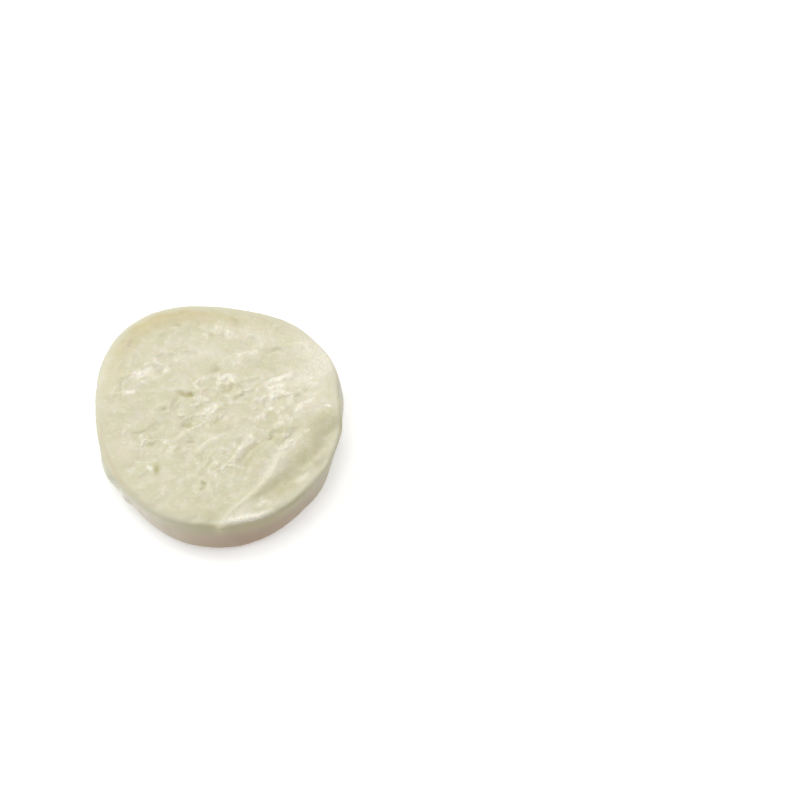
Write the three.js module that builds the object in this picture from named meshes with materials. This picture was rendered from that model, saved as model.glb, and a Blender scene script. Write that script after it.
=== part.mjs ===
// A thick slice cut from a small ball of fresh mozzarella, lying on its lower cut face.
// Its two cut faces are flat but torn where the knife dragged at the curd, and its side is the
// ball's own smooth skin. Across one side of the upper face a layer of curd has folded down.
//
// Millimetres, +Z up. The origin is on the surface that the slice lies on, under its middle.
// Places on the upper face are measured from the point that the outline is drawn round, and
// bearings about it are in degrees, anticlockwise from +X as seen from above.
import * as THREE from "three";
import { mergeVertices } from "three/addons/utils/BufferGeometryUtils.js";

// ---- Driving dimensions ----

const FACE_RADIUS = 32.4; // the upper face, without its swells and dents
const THICKNESS = 12.5; // from face to face
const UPPER_EDGE = 1.0; // rounding between the upper face and the skin
const LOWER_EDGE = 1.7; // rounding between the skin and the lower face
const SIDE_BULGE = 0.2; // how far the skin stands out halfway down the side

// The outline is a circle with soft swells, and dents of negative height.
const SWELLS = [
  { bearing: 128, spread: 32, height: 4.4 },
  { bearing: 50, spread: 20, height: 1.9 },
  { bearing: 24, spread: 16, height: 2.4 },
  { bearing: -4, spread: 10, height: 1.3 },
  { bearing: -22, spread: 16, height: 1.3 },
  { bearing: 210, spread: 28, height: -1.4 },
  { bearing: 178, spread: 24, height: -1.3 },
  { bearing: 308, spread: 15, height: 0.7 },
];

// How far the foot of the side stands out from under the upper face, because the ball was cut
// off its middle and not quite square.
const FOOT_SWELLS = [
  { bearing: 349, spread: 20, height: -2.3 },
  { bearing: 10, spread: 18, height: 1.5 },
  { bearing: 287, spread: 24, height: 1.5 },
  { bearing: 256, spread: 20, height: 0.7 },
  { bearing: 229, spread: 26, height: -1.5 },
  { bearing: 169, spread: 24, height: 1.2 },
  { bearing: 308, spread: 15, height: -0.7 },
];

// Low knobs of the skin, each at a bearing and a height above the lower face. The last is the
// tongue of curd that overhangs the edge where the fold begins.
const SKIN_KNOBS = [
  { bearing: 209, z: 7.5, size: 5.6, out: 1.3 },
  { bearing: 225, z: 6.3, size: 2.5, out: 0.8 },
  { bearing: 275.5, z: 11.6, size: 1.5, out: 0.7 },
];

// Past this line, on its right as it runs, the top layer has folded down. Its low edge leaves a
// valley that deepens towards the end of the line, and a thin lip stands along the line itself.
const FOLD = {
  line: [
    [2.9, -34.6],
    [3.7, -32.2],
    [5.7, -28.9],
    [7.7, -26.7],
    [10.2, -24.5],
    [12.7, -21.9],
    [15.2, -18.9],
    [16.9, -15.9],
    [18.0, -13.4],
    [19.0, -10.6],
    [20.6, -7.6],
    [22.2, -4.6],
    [23.2, -1.4],
    [25.2, 1.8],
    [28.4, 3.4],
    [34.4, 4.2],
  ],
  lip: 0.35, // height of the lip
  lipWidth: 1.0, // on the lip's high side; its other side is twice as wide
  startWidth: 0.4, // of the valley's slope where the line begins
  endWidth: 9.0, // and where it ends
  startSlope: 0.8, // how far down the slope is at its steepest, where the line begins; 1 is halfway
  endSlope: 1.6, // and where it ends
  steepness: 0.19, // the valley's depth for each millimetre of its slope's width
  bank: 3.0, // from the valley's floor to the top of its far bank
  bankLevel: 0.8, // share of the depth that the far bank stays down by where the line begins
  blur: 2.0, // over which the line's bends are softened
};

// Where the upper face rolls over to the skin instead of meeting it at a corner.
const ROLLS = [
  { bearing: 122, spread: 38, width: 5.5, drop: 1.1 },
  { bearing: 238, spread: 38, width: 3.2, drop: 0.5 },
  { bearing: 308, spread: 16, width: 3.0, drop: 0.5 },
];

// Fibres of curd that the knife pulled up: thin ridges, each steeper on its left as it runs.
// The last is the curled rim of the folded layer.
const FIBRES = [
  { line: [[-8.6, -8.7], [-7.6, -6.7], [-5.3, -5.1], [-2.6, -3.7], [3.1, -0.5]], height: 0.45, width: 1.2 },
  { line: [[-4.6, -11.9], [-3.0, -10.1], [-1.6, -8.1], [2.8, -5.5]], height: 0.4, width: 1.1 },
  { line: [[4.4, -14.5], [6.5, -12.3], [7.6, -9.7], [12.2, -6.5]], height: 0.5, width: 1.5 },
  { line: [[14.1, -18.9], [16.1, -15.4], [18.1, -11.9], [20.7, -9.4]], height: 0.4, width: 1.8 },
  { line: [[15.7, -4.5], [17.7, -2.7], [18.9, -1.3]], height: 0.45, width: 1.2 },
  { line: [[14.1, 9.9], [16.7, 10.9], [19.2, 12.1], [21.7, 13.9]], height: 0.5, width: 1.2 },
  { line: [[15.2, 8.0], [18.1, 9.1], [22.1, 9.9]], height: 0.35, width: 1.0 },
  { line: [[10.7, 5.1], [14.1, 6.3], [18.7, 7.1]], height: 0.35, width: 1.1 },
  { line: [[20.7, 1.6], [23.1, 3.1], [26.1, 4.9]], height: 0.4, width: 1.2 },
  { line: [[4.7, 13.6], [5.7, 16.1], [7.3, 18.5]], height: 0.4, width: 1.1 },
  { line: [[4.6, -32.0], [8.1, -30.6], [13.1, -29.4], [18.0, -26.8]], height: 0.8, width: 1.6 },
];

// Pits: eyes of trapped whey, and places where a fibre tore out.
const PITS = [
  { x: -6.9, y: 5.8, length: 2.6, width: 1.0, bearing: -12, depth: 0.9 },
  { x: -6.3, y: -3.3, length: 2.2, width: 1.0, bearing: 10, depth: 0.8 },
  { x: -13.9, y: -15.9, length: 1.3, width: 0.9, bearing: -62, depth: 1.0 },
  { x: -1.6, y: -20.1, length: 1.1, width: 0.8, bearing: -35, depth: 0.9 },
  { x: -24.3, y: 8.6, length: 1.9, width: 0.8, bearing: -75, depth: 0.5 },
  { x: 16.2, y: -6.5, length: 1.8, width: 0.9, bearing: 35, depth: 0.7 },
  { x: 16.1, y: 19.4, length: 3.2, width: 0.8, bearing: 12, depth: 0.4 },
  { x: 24.2, y: 7.4, length: 3.0, width: 0.9, bearing: 36, depth: 0.4 },
  { x: 11.1, y: 14.6, length: 4.5, width: 1.6, bearing: 8, depth: 0.3 },
  { x: 5.7, y: 7.8, length: 1.8, width: 1.0, bearing: 20, depth: 0.5 },
  { x: -0.1, y: 13.5, length: 1.6, width: 1.0, bearing: 60, depth: 0.4 },
];

// Raised patches of crumbled curd. The last, long and smooth, is a shoulder along the rim.
const CRUMBS = [
  { x: -20.3, y: 12.1, length: 4.4, width: 1.7, bearing: 8, height: 0.45 },
  { x: -21.9, y: 6.5, length: 2.0, width: 0.9, bearing: 6, height: 0.35 },
  { x: 3.7, y: 11.1, length: 2.2, width: 1.3, bearing: -5, height: 0.45 },
  { x: -0.9, y: 1.3, length: 2.8, width: 1.7, bearing: 38, height: 0.4 },
  { x: 0.3, y: 26.1, length: 3.4, width: 1.3, bearing: 0, height: 0.3 },
  { x: -21.3, y: -8.5, length: 3.0, width: 1.6, bearing: -20, height: 0.3 },
  { x: 15.6, y: 1.8, length: 1.4, width: 0.9, bearing: 10, height: 0.4 },
  { x: 23.1, y: -18.4, length: 2.2, width: 1.1, bearing: 70, height: 0.35 },
  { x: 28.0, y: 13.6, length: 8.0, width: 3.5, bearing: 112, height: 0.5 },
];

// The torn grain of the cut: soft steps drawn out along the fibres.
const GRAIN = { height: 0.3, length: 6.0, width: 2.6, bearing: 27 };
const SMOOTH_RIM = 3.2; // the outer curd, under the skin, cuts smoother than the middle

// How finely the solid is faceted.
const SEGMENTS = 150;
const RING_STEP = 1.25;

// ---- Helpers ----

const { clamp, degToRad, lerp, radToDeg, smoothstep } = THREE.MathUtils;

/** A soft bump: 1 at its middle, and near 0 at twice its spread. */
function bump(distance, spread) {
  return Math.exp(-((distance / spread) ** 2));
}

/** The smallest angle between two bearings, in degrees. */
function bearingGap(one, other) {
  const gap = Math.abs(one - other) % 360;
  return Math.min(gap, 360 - gap);
}

/** How far (x, y) is from the middle of a long patch, in units of the patch's own half sizes. */
function patchDistance(x, y, patch) {
  const turn = degToRad(patch.bearing);
  const along = (x - patch.x) * Math.cos(turn) + (y - patch.y) * Math.sin(turn);
  const across = (y - patch.y) * Math.cos(turn) - (x - patch.x) * Math.sin(turn);
  return Math.hypot(along / patch.length, across / patch.width);
}

/** A smooth line through hand-placed points, as closely spaced points. */
function smoothLine(points) {
  const curve = new THREE.SplineCurve(points.map(([x, y]) => new THREE.Vector2(x, y)));
  return curve.getSpacedPoints(8 * points.length);
}

/** Where (x, y) lies against a line: the distance, positive on its right, and the share passed. */
function besideLine(line, x, y) {
  const nearest = { distance: Infinity, share: 0 };
  for (let i = 1; i < line.length; i++) {
    const [start, end] = [line[i - 1], line[i]];
    const [dx, dy] = [end.x - start.x, end.y - start.y];
    const passed = ((x - start.x) * dx + (y - start.y) * dy) / (dx * dx + dy * dy);
    const share = clamp(passed, 0, 1);
    const gap = Math.hypot(x - start.x - share * dx, y - start.y - share * dy);
    if (gap < Math.abs(nearest.distance)) {
      const side = Math.sign(dy * (x - start.x) - dx * (y - start.y)) || 1;
      nearest.distance = side * gap;
      nearest.share = (i - 1 + share) / (line.length - 1);
    }
  }
  return nearest;
}

/** A repeatable value from 0 to 1 for a corner of the unit grid. */
function cornerValue(i, j) {
  const wave = Math.sin(i * 127.1 + j * 311.7) * 43758.5453;
  return wave - Math.floor(wave);
}

/** Smooth noise from 0 to 1, with a grain of one unit. */
function noise(x, y) {
  const [i, j] = [Math.floor(x), Math.floor(y)];
  const [u, v] = [smoothstep(x - i, 0, 1), smoothstep(y - j, 0, 1)];
  const near = lerp(cornerValue(i, j), cornerValue(i + 1, j), u);
  const far = lerp(cornerValue(i, j + 1), cornerValue(i + 1, j + 1), u);
  return lerp(near, far, v);
}

// ---- The slice's outline and skin ----

/** How far a set of swells stands out at a bearing. */
function swellOut(swells, bearing) {
  return swells.reduce(
    (out, swell) => out + swell.height * bump(bearingGap(bearing, swell.bearing), swell.spread),
    0,
  );
}

/** The upper face's radius at a bearing. */
function faceRadius(bearing) {
  return FACE_RADIUS + swellOut(SWELLS, bearing);
}

/** How far the skin stands out from the straight side at a bearing and a height. */
function skinOut(bearing, z) {
  const level = z / THICKNESS;
  const straight = SIDE_BULGE * 4 * level * (1 - level) + swellOut(FOOT_SWELLS, bearing) * (1 - level);
  return SKIN_KNOBS.reduce((out, knob) => {
    const around = degToRad(bearingGap(bearing, knob.bearing)) * FACE_RADIUS;
    return out + knob.out * bump(Math.hypot(around, z - knob.z), knob.size);
  }, straight);
}

// ---- The upper face's relief ----

const foldLine = smoothLine(FOLD.line);
const fibreLines = FIBRES.map((fibre) => ({ ...fibre, line: smoothLine(fibre.line) }));

/** Where (x, y) lies against the fold's line, softened where the line bends. */
function besideFold(x, y) {
  const shifts = [[0, 0], [FOLD.blur, 0], [-FOLD.blur, 0], [0, FOLD.blur], [0, -FOLD.blur]];
  const spots = shifts.map(([dx, dy]) => besideLine(foldLine, x + dx, y + dy));
  const mean = (key) => spots.reduce((sum, spot) => sum + spot[key], 0) / spots.length;
  return { distance: mean("distance"), share: mean("share") };
}

/** The fold's lip, the valley beyond it and the valley's far bank. */
function foldLift(x, y) {
  const { distance, share } = besideFold(x, y);
  const lip = FOLD.lip * (1 - smoothstep(share, 0.45, 0.65));
  if (distance < 0) return lip * bump(distance, FOLD.lipWidth);
  const passed = smoothstep(share, 0.22, 0.72);
  const width = lerp(FOLD.startWidth, FOLD.endWidth, passed);
  const slope = lerp(FOLD.startSlope, FOLD.endSlope, smoothstep(share, 0.42, 0.62));
  const down = smoothstep(clamp(distance / width, 0, 1) ** slope, 0, 1);
  const level = lerp(1, lerp(FOLD.bankLevel, 1, passed), smoothstep(distance, width, width + FOLD.bank));
  return lip * bump(distance, 2 * FOLD.lipWidth) - FOLD.steepness * width * level * down;
}

/** A pulled fibre: a thin ridge that fades at both ends. */
function fibreLift(fibre, x, y) {
  const { distance, share } = besideLine(fibre.line, x, y);
  const fade = smoothstep(share, 0, 0.3) * (1 - smoothstep(share, 0.7, 1));
  return fibre.height * fade * bump(distance, distance < 0 ? fibre.width * 0.5 : fibre.width);
}

/** Soft steps of torn curd, from two sizes of noise stretched along the fibres. */
function grainLift(x, y) {
  const turn = degToRad(GRAIN.bearing);
  const along = (x * Math.cos(turn) + y * Math.sin(turn)) / GRAIN.length;
  const across = (y * Math.cos(turn) - x * Math.sin(turn)) / GRAIN.width;
  const coarse = smoothstep(noise(along + 40, across + 40), 0.3, 0.7);
  const fine = noise(along * 1.9 + 7, across * 1.6 + 11);
  return GRAIN.height * (0.6 * coarse + 0.4 * fine - 0.5);
}

/** How far the upper face rises or sinks from flat at (x, y), which is inset from its rim. */
function faceLift(x, y, inset) {
  const bearing = radToDeg(Math.atan2(y, x));
  let lift = foldLift(x, y);
  for (const roll of ROLLS) {
    const drop = roll.drop * bump(bearingGap(bearing, roll.bearing), roll.spread);
    lift -= drop * smoothstep(roll.width - inset, 0, roll.width) ** 2;
  }
  for (const fibre of fibreLines) lift += fibreLift(fibre, x, y);
  for (const pit of PITS) lift -= pit.depth * bump(patchDistance(x, y, pit), 1);
  for (const crumb of CRUMBS) lift += crumb.height * bump(patchDistance(x, y, crumb), 1);
  return lift + grainLift(x, y) * smoothstep(inset, 0, SMOOTH_RIM);
}

// ---- The solid ----

/** Half of a straight-sided slice's section, from the axis on top to the axis underneath. */
function halfSection() {
  const flat = FACE_RADIUS - UPPER_EDGE;
  const rings = Math.round(flat / RING_STEP);
  const points = [];
  for (let i = 0; i < rings; i++) points.push(new THREE.Vector2((flat * i) / rings, THICKNESS));

  const upperEdge = new THREE.EllipseCurve(
    flat, THICKNESS - UPPER_EDGE, UPPER_EDGE, UPPER_EDGE, Math.PI / 2, 0, true,
  );
  const lowerEdge = new THREE.EllipseCurve(
    FACE_RADIUS - LOWER_EDGE, LOWER_EDGE, LOWER_EDGE, LOWER_EDGE, 0, -Math.PI / 2, true,
  );
  const side = new THREE.LineCurve(
    new THREE.Vector2(FACE_RADIUS, THICKNESS - UPPER_EDGE),
    new THREE.Vector2(FACE_RADIUS, LOWER_EDGE),
  );
  points.push(...upperEdge.getPoints(3), ...side.getPoints(5).slice(1, -1), ...lowerEdge.getPoints(3));
  points.push(new THREE.Vector2(flat * 0.6, 0), new THREE.Vector2(0, 0));
  return points;
}

/** Moves a point of the straight-sided slice to its place in the real one. */
function shapePoint(point) {
  const bearing = radToDeg(Math.atan2(point.y, point.x));
  const share = Math.hypot(point.x, point.y) / FACE_RADIUS; // of the way out to the side
  const outline = faceRadius(bearing);
  const radius = share * outline + skinOut(bearing, point.z) * share ** 8;
  const [x, y] = [radius * Math.cos(degToRad(bearing)), radius * Math.sin(degToRad(bearing))];

  // The relief fades out down the upper half of the skin, so the lower face stays flat.
  const level = point.z / THICKNESS;
  const lift = faceLift(x, y, Math.max(outline - radius, 0)) * smoothstep(level, 0.35, 1);
  return point.set(x, y, point.z + lift);
}

function makeSlice() {
  const turned = new THREE.LatheGeometry(halfSection().reverse(), SEGMENTS).rotateX(Math.PI / 2);
  turned.deleteAttribute("normal");
  turned.deleteAttribute("uv");
  const geometry = mergeVertices(turned, 1e-3);

  const place = geometry.getAttribute("position");
  const point = new THREE.Vector3();
  for (let i = 0; i < place.count; i++) {
    shapePoint(point.fromBufferAttribute(place, i));
    place.setXYZ(i, point.x, point.y, point.z);
  }

  // The middle of the slice goes over the origin, with its lower face on the ground.
  geometry.computeBoundingBox();
  const middle = geometry.boundingBox.getCenter(new THREE.Vector3());
  geometry.translate(-middle.x, -middle.y, -geometry.boundingBox.min.z);
  geometry.computeVertexNormals();

  const curd = new THREE.MeshStandardMaterial({ color: 0xdcd7bd, roughness: 0.5, metalness: 0 });
  const slice = new THREE.Mesh(geometry, curd);
  slice.name = "slice";
  return slice;
}

const mozzarella = new THREE.Group();
mozzarella.add(makeSlice());

export default mozzarella;
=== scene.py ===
"""A thick slice of fresh mozzarella, lying on its lower cut face.

The slice is one closed mesh. A fine grid makes the torn upper face, rings drawn down from its rim
make the skin, and a coarser grid makes the cut underneath. All of it starts straight-sided and
smooth, and is then moved to the slice's outline, edges, fold, tears, pits and crumbs.

Sizes and places are in millimetres. Places on the faces are measured from the point that the
outline is drawn round, and bearings about it are in degrees, anticlockwise from +X as seen from
above. Blender's own lengths are in metres.
"""

import logging
import math
from collections.abc import Iterable
from dataclasses import dataclass, field
from enum import Enum
from functools import cached_property
from typing import Any

import bmesh
import bpy
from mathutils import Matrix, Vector, kdtree, noise


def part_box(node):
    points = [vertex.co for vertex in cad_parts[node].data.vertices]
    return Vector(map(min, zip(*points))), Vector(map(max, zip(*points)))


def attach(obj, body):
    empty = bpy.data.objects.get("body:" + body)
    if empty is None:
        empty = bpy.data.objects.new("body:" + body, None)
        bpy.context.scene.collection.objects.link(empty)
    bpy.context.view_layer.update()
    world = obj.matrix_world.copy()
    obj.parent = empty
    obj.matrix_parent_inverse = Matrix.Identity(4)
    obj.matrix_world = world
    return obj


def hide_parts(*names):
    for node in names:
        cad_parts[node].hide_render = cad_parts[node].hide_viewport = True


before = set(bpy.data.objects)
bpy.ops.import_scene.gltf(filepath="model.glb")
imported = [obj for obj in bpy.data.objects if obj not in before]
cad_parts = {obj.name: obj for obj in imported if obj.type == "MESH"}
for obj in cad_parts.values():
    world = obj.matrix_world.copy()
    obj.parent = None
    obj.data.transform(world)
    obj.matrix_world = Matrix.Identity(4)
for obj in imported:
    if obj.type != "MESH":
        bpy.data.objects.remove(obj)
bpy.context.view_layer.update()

MM = 0.001
Colour = tuple[float, float, float]
Pair = tuple[float, float]
Run = tuple[float, float, float, float]  # where something starts, is full, fades and ends
Value = Any  # a number, a colour, a Signal or a node socket

log = logging.getLogger("mozzarella")


# ---- Small shapes of value ----


def bump(distance: float, spread: float) -> float:
    """A soft bump: 1 at its middle, and near 0 at twice its spread."""
    return math.exp(-((distance / spread) ** 2))


def lerp(start: float, end: float, share: float) -> float:
    """The value a share of the way from start to end."""
    return start + (end - start) * share


def smoothstep(value: float, low: float, high: float) -> float:
    """A soft step from 0 at low to 1 at high."""
    share = min(max((value - low) / (high - low), 0.0), 1.0)
    return share * share * (3.0 - 2.0 * share)


def fading(value: float, full: float, gone: float) -> float:
    """A soft fall from 1 at full to 0 at gone."""
    return 1.0 - smoothstep(value, full, gone)


def swelling(value: float, start: float, full: float, fade: float, end: float) -> float:
    """A soft rise from start to full, times a soft fall from fade to end."""
    return smoothstep(value, start, full) * fading(value, fade, end)


def bearing_of(x: float, y: float) -> float:
    """The bearing of (x, y)."""
    return math.degrees(math.atan2(y, x))


def bearing_gap(one: float, other: float) -> float:
    """The smallest angle between two bearings."""
    gap = abs(one - other) % 360.0
    return min(gap, 360.0 - gap)


def turned(x: float, y: float, bearing: float) -> tuple[float, float]:
    """How far (x, y) lies along a bearing, and how far to its left.

    Args:
        x: the place's first coordinate.
        y: the place's second coordinate.
        bearing: the direction to measure along.

    Returns:
        The two distances, the second negative on the right.
    """
    cosine, sine = math.cos(math.radians(bearing)), math.sin(math.radians(bearing))
    return x * cosine + y * sine, y * cosine - x * sine


@dataclass(frozen=True)
class Ripple:
    """Smooth noise, mostly within half its height up and down."""

    layer: float  # no two layers of the noise are alike
    length: float = 1.0  # of its grain, along the first coordinate
    width: float = 1.0  # and along the second
    height: float = 1.0

    def at(self, x: float, y: float, layer: float = 0.0) -> float:
        """The noise at (x, y), so many layers further on."""
        place = Vector((x / self.length, y / self.width, self.layer + layer))
        return self.height * noise.noise(place)


# ---- The slice's own features ----


@dataclass(frozen=True)
class Swell:
    """A soft swell of the outline, or a dent if its height is negative."""

    bearing: float
    spread: float
    height: float

    def out(self, bearing: float) -> float:
        """How far the swell stands out at a bearing."""
        return self.height * bump(bearing_gap(bearing, self.bearing), self.spread)


@dataclass(frozen=True)
class Knob:
    """A low knob on the skin, or a hollow if it stands out by less than nothing."""

    bearing: float
    z: float
    size: float
    out: float


@dataclass(frozen=True)
class Patch:
    """A long soft patch of a cut face. Length and width are half sizes."""

    x: float
    y: float
    length: float
    width: float
    bearing: float
    height: float = 1.0
    reach: float = 2.5  # half sizes past which it is as good as nothing

    def lift(self, x: float, y: float) -> float:
        """The patch's height at (x, y).

        Args:
            x: the place's first coordinate.
            y: the place's second coordinate.

        Returns:
            Its height there.
        """
        reach = self.reach * max(self.length, self.width)
        if abs(x - self.x) > reach or abs(y - self.y) > reach:
            return 0.0
        along, across = turned(x - self.x, y - self.y, self.bearing)
        return self.height * bump(math.hypot(along / self.length, across / self.width), 1.0)


@dataclass(frozen=True)
class Line:
    """A smooth line over a cut face, through given points."""

    points: tuple[Pair, ...]
    steps: int = 10  # from each point to the next

    @cached_property
    def path(self) -> list[Vector]:
        """The line as closely spaced points: a Catmull-Rom curve.

        Returns:
            The points, in order.
        """
        knots = [Vector((x, y, 0.0)) for x, y in self.points]
        knots = [knots[0], *knots, knots[-1]]
        path = []
        for before, start, end, after in zip(knots, knots[1:], knots[2:], knots[3:]):
            for step in range(self.steps):
                t = step / self.steps
                pull_in, pull_out = (end - before) / 2, (after - start) / 2
                rest = 3 * (end - start) - 2 * pull_in - pull_out
                turn = pull_in + pull_out - 2 * (end - start)
                path.append(start + t * (pull_in + t * (rest + t * turn)))
        return [*path, knots[-1]]

    @cached_property
    def tree(self) -> kdtree.KDTree:
        """The path's points, sorted for finding the nearest one.

        Returns:
            The sorted points.
        """
        tree = kdtree.KDTree(len(self.path))
        for index, place in enumerate(self.path):
            tree.insert(place, index)
        tree.balance()
        return tree

    def beside(self, x: float, y: float) -> tuple[float, float]:
        """Where (x, y) lies against the line.

        Args:
            x: the place's first coordinate.
            y: the place's second coordinate.

        Returns:
            The distance, positive on the line's right, and the share of the line passed.
        """
        place, last = Vector((x, y, 0.0)), len(self.path) - 1
        _, index, gap = self.tree.find(place)
        run = (self.path[min(index + 1, last)] - self.path[max(index - 1, 0)]).normalized()
        offset = place - self.path[index]
        right = run.y * offset.x - run.x * offset.y
        distance = math.copysign(gap, right) if index in (0, last) else right
        return distance, index / last


@dataclass(frozen=True)
class Fibre:
    """A fibre of curd that the knife pulled up: a ridge, steeper on its left as it runs."""

    line: Line
    height: float
    width: float
    left_side: float = 0.6  # how far the ridge spreads to its left, in widths
    right_side: float = 1.5
    reach: float = 4.0  # widths past which it is as good as nothing
    run: Run = (0.0, 0.3, 0.7, 1.0)  # in shares of the line
    fray: Ripple = Ripple(layer=4.0, length=1.5, width=1.1, height=0.8)

    @classmethod
    def along(cls, height: float, width: float, *points: Pair) -> "Fibre":
        """A fibre through given points."""
        return cls(Line(points), height, width)

    def lift(self, x: float, y: float) -> float:
        """The fibre's height at (x, y). It fades at both ends.

        Args:
            x: the place's first coordinate.
            y: the place's second coordinate.

        Returns:
            Its height there.
        """
        distance, share = self.line.beside(x, y)
        if abs(distance) > self.reach * self.width:
            return 0.0
        spread = self.width * (self.right_side if distance > 0.0 else self.left_side)
        height = self.height * (1.0 + self.fray.at(x, y))
        return height * swelling(share, *self.run) * bump(distance, spread)


def summed(parts: Iterable[Patch | Fibre], x: float, y: float) -> float:
    """The height of several patches or fibres together at (x, y)."""
    return sum(part.lift(x, y) for part in parts)


@dataclass(frozen=True)
class Fold:
    """A layer of curd folded down past a line, on its right, with a lip along the line and a
    painted highlight on the lip.

    Where something is along the line is in shares of the line. Other pairs are a value early on
    the line and one late on it.
    """

    line: Line
    blur: float = 2.0  # over which the line's bends are softened
    lip: float = 0.35
    lip_width: float = 1.0  # on the lip's high side; its other side is twice as wide
    lip_run: Run = (-0.03, 0.06, 0.45, 0.65)
    lip_share: Pair = (0.65, 1.0)  # of the lip's height
    lip_growth: Pair = (0.3, 0.4)  # where its height changes
    opening: Pair = (0.19, 0.66)  # where the valley opens
    slope_width: Pair = (0.4, 8.2)
    steepness: Pair = (0.11, 0.185)  # the valley's depth for each millimetre of its slope's width
    turning: Pair = (0.42, 0.66)  # where the slope's section changes
    steepest: Pair = (0.8, 2.0)  # 1 is steepest halfway down the slope, and more is lower down
    softness: Pair = (0.2, 1.0)  # 0 is a straight slope, and 1 is rounded at its top and foot
    bank: float = 3.0  # from the valley's floor to the top of its far bank
    bank_level: Pair = (0.8, 1.0)  # share of the depth that the bank stays down by
    stray: Ripple = Ripple(layer=5.0, length=2.6, width=2.6, height=0.06)  # in slope's widths
    calm_start: Pair = (0.25, 0.45)  # where the slope becomes smooth
    calm_run: Run = (0.0, 0.5, 0.8, 1.2)  # down the slope, in its widths
    white_and_highlight: Pair = (0.408, 0.24)  # painted highlight along the lip, early and late on the line
    lip_highlight_spread: Pair = (0.55, 1.2)
    lip_highlight_change: Pair = (0.34, 0.42)  # where those two change
    lip_highlight_run: Run = (0.05, 0.2, 0.44, 0.56)
    lip_highlight_offset: float = 0.8  # of its middle to the line's left, in spreads

    def beside(self, x: float, y: float) -> tuple[float, float, float]:
        """Where (x, y) lies against the line, softened where the line bends.

        Args:
            x: the place's first coordinate.
            y: the place's second coordinate.

        Returns:
            The distance, positive on the line's right, the share of the line passed, and how far
            open the valley is there, from 0 to 1.
        """
        blur = self.blur
        shifts = ((0.0, 0.0), (blur, 0.0), (-blur, 0.0), (0.0, blur), (0.0, -blur))
        spots = [self.line.beside(x + dx, y + dy) for dx, dy in shifts]
        distance, share = (sum(values) / len(spots) for values in zip(*spots))
        return distance, share, smoothstep(share, *self.opening)

    def lift(self, x: float, y: float) -> float:
        """The height of the lip, the valley and its far bank at (x, y).

        Args:
            x: the place's first coordinate.
            y: the place's second coordinate.

        Returns:
            Their height, less than 0 in the valley.
        """
        distance, share, opened = self.beside(x, y)
        width = lerp(*self.slope_width, opened)
        distance += width * self.stray.at(x, y)
        grown = lerp(*self.lip_share, smoothstep(share, *self.lip_growth))
        lip = self.lip * grown * swelling(share, *self.lip_run)
        if distance < 0.0:
            return lip * bump(distance, self.lip_width)
        across, changed = min(distance / width, 1.0), smoothstep(share, *self.turning)
        soft = smoothstep(across ** lerp(*self.steepest, changed), 0.0, 1.0)
        down = lerp(across, soft, lerp(*self.softness, changed))
        past = smoothstep(distance, width, width + self.bank)
        level = lerp(1.0, lerp(*self.bank_level, opened), past)
        depth = lerp(*self.steepness, opened) * width * level * down
        return lip * bump(distance, 2.0 * self.lip_width) - depth

    def calm(self, x: float, y: float) -> float:
        """How far (x, y) is on the valley's smooth slope, which is painted with shade, from 0 to 1.

        Args:
            x: the place's first coordinate.
            y: the place's second coordinate.

        Returns:
            1 on the slope's middle, and 0 off it.
        """
        distance, share, opened = self.beside(x, y)
        down = distance / lerp(*self.slope_width, opened)
        return smoothstep(share, *self.calm_start) * swelling(down, *self.calm_run)

    def lip_highlight(self, x: float, y: float) -> float:
        """How much painted highlight lies at (x, y), along the lip beside the line.

        Args:
            x: the place's first coordinate.
            y: the place's second coordinate.

        Returns:
            How strong the painted highlight is, from 0 to 1.
        """
        distance, share, _ = self.beside(x, y)
        changed = smoothstep(share, *self.lip_highlight_change)
        spread = lerp(*self.lip_highlight_spread, changed)
        white_and_highlight = lerp(*self.white_and_highlight, changed) * swelling(share, *self.lip_highlight_run)
        return white_and_highlight * bump(distance + self.lip_highlight_offset * spread, spread)


@dataclass(frozen=True)
class Tears:
    """Layers of curd that tore as the knife passed: steps that rise steeply and fall gently."""

    bearing: float  # along the steps; their gentle sides are on their right
    spacing: float
    height: float
    wander: float  # how far the steps stray from straight lines
    layer: float  # the first of three layers of noise that no other relief has
    rise: float = 0.22  # share of the spacing taken by the steep side
    sunk: float = 0.45  # share of the height that is below the face
    raised: Pair = (0.5, 1.0)  # shares of the height where an edge begins and is full
    bends: Ripple = Ripple(layer=0.0, length=8.0, width=4.5)
    jags: Ripple = Ripple(layer=1.0, length=2.0, width=1.4, height=0.12)  # of the bends' 1
    cover: Ripple = Ripple(layer=2.0, length=6.0, width=3.0)
    covered: Pair = (-0.05, 0.35)  # the cover's noise where steps begin and are full

    def lift(self, x: float, y: float) -> tuple[float, float]:
        """The steps at (x, y).

        Args:
            x: the place's first coordinate.
            y: the place's second coordinate.

        Returns:
            Their height, and how near the place is to a step's raised edge, from 0 to 1.
        """
        along, left = turned(x, y, self.bearing)
        bends, jags, cover = (
            ripple.at(along, left, self.layer) for ripple in (self.bends, self.jags, self.cover)
        )
        phase = (self.wander * (bends + jags) - left) / self.spacing
        share = phase - math.floor(phase)
        tooth = smoothstep(share, 0.0, self.rise) * (1.0 - share) / (1.0 - self.rise)
        covered = smoothstep(cover, *self.covered)
        edge = smoothstep(tooth, *self.raised)
        return self.height * covered * (tooth - self.sunk), covered * edge


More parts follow.
